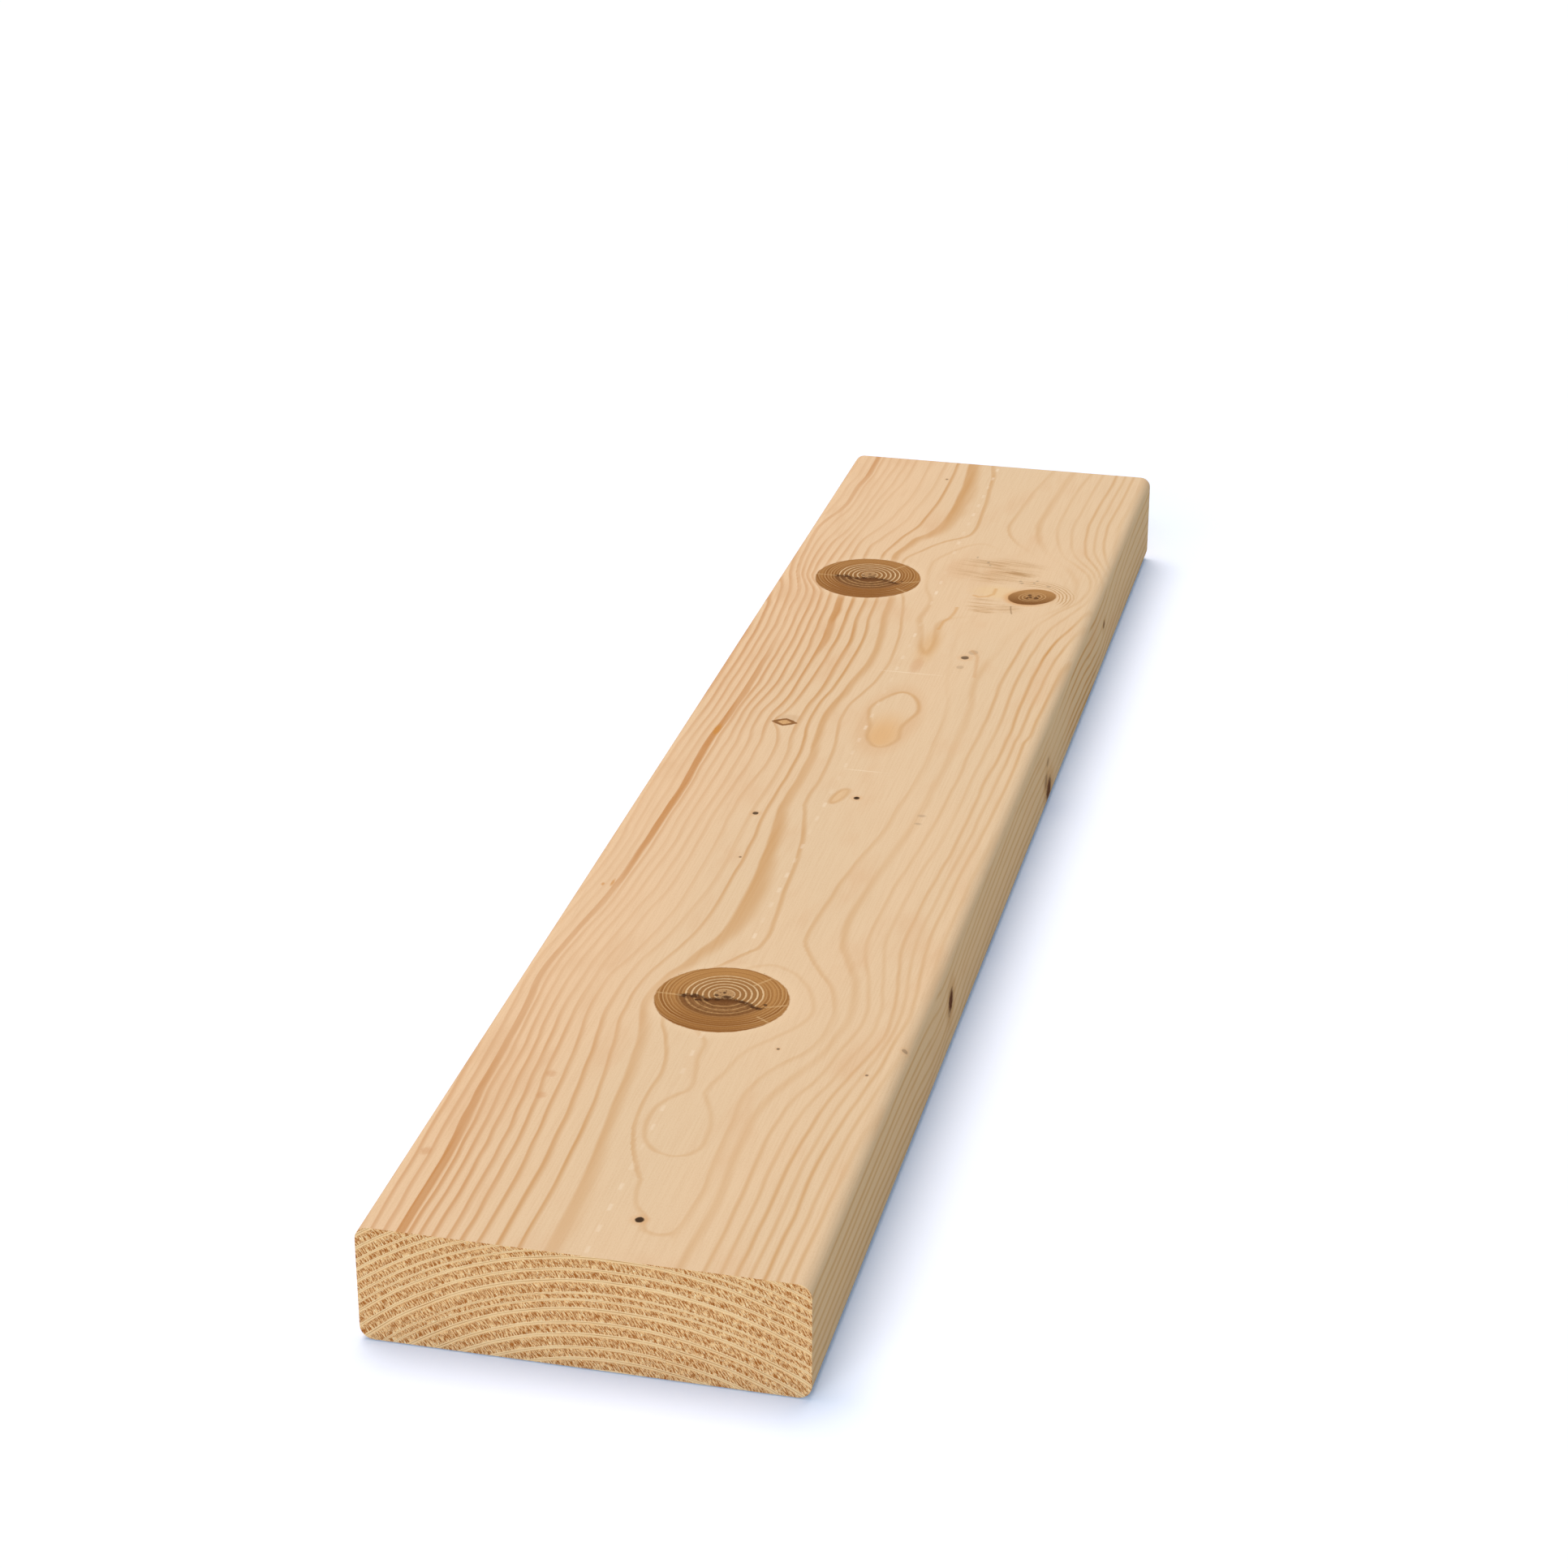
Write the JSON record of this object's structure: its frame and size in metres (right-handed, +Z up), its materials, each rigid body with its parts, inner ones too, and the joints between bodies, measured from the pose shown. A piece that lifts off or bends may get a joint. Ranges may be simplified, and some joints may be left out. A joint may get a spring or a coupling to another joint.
{
  "type": "timber lumber plank",
  "caption": "Planed softwood plank of rectangular section with rounded long edges and square sawn ends, used as building stock.",
  "frame": {"origin": "middle of the wide face that the plank lies on", "axes": "+X across the width, +Y along the grain from the near sawn end to the far one, +Z up through the thickness"},
  "size_m": [0.16, 0.8, 0.045],
  "materials": {
    "softwood": "planed softwood with knots on the long faces, rough sawn end grain"
  },
  "bodies": {
    "root": {"plank": "softwood"}
  },
  "joints": []
}
